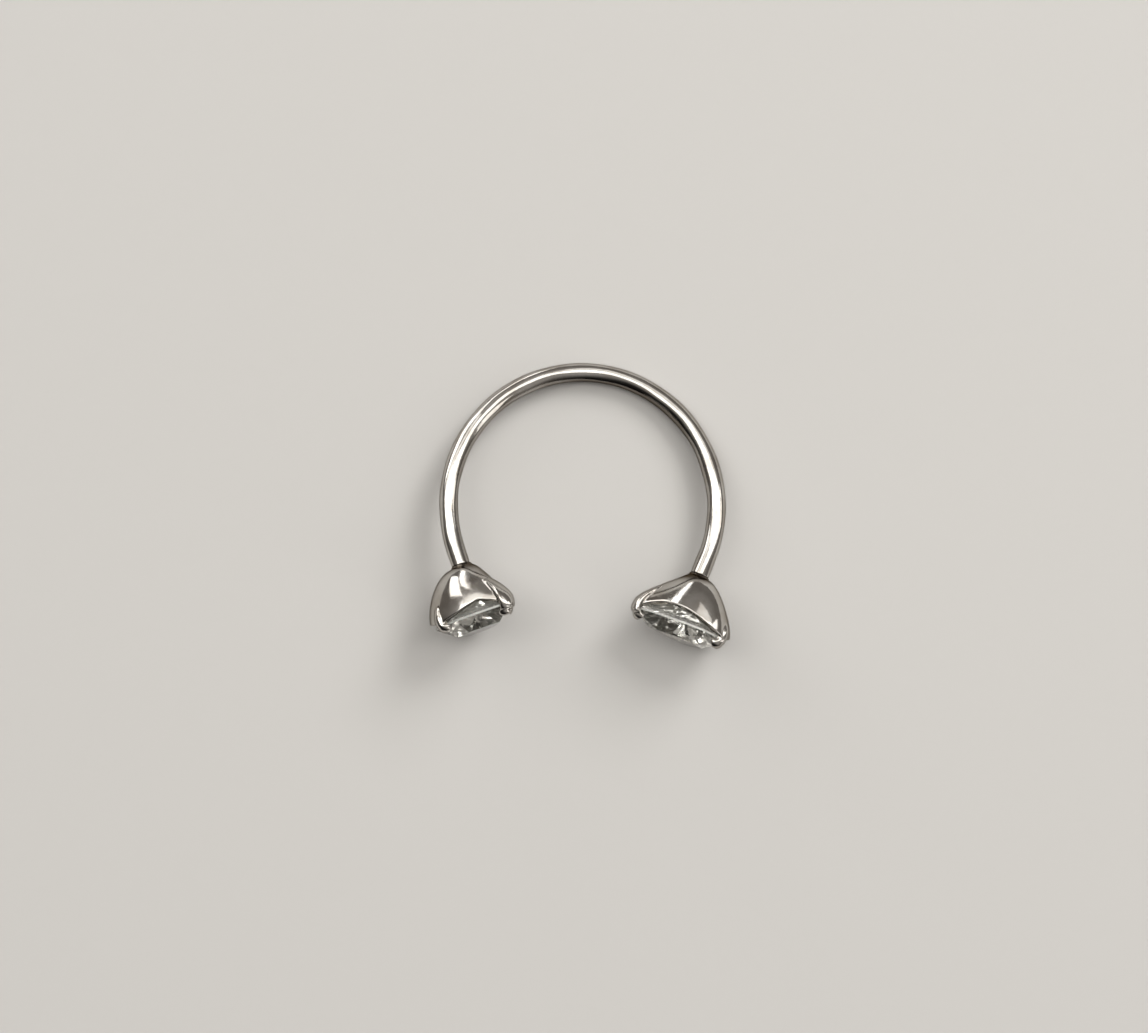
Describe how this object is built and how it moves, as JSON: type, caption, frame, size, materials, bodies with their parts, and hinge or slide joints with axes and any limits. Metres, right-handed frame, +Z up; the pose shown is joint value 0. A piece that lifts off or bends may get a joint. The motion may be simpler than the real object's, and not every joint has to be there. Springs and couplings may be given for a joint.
{
  "type": "horseshoe nose ring",
  "caption": "Open polished steel horseshoe nose ring of round wire, with a claw-set pear-shaped clear stone on each tip.",
  "frame": {"origin": "middle of the footprint on the surface that the ring lies on", "axes": "+Z up from that surface, +Y from the open mouth towards the top of the arc, +X towards the right-hand tip"},
  "size_m": [0.012, 0.0116, 0.0036],
  "materials": {
    "polished_steel": "polished stainless steel with fine wear",
    "clear_stone": "clear faceted crystal"
  },
  "bodies": {
    "root": {"horseshoe_bar": "polished_steel", "left_setting": "polished_steel", "right_setting": "polished_steel", "left_stone": "clear_stone", "right_stone": "clear_stone"}
  },
  "joints": []
}
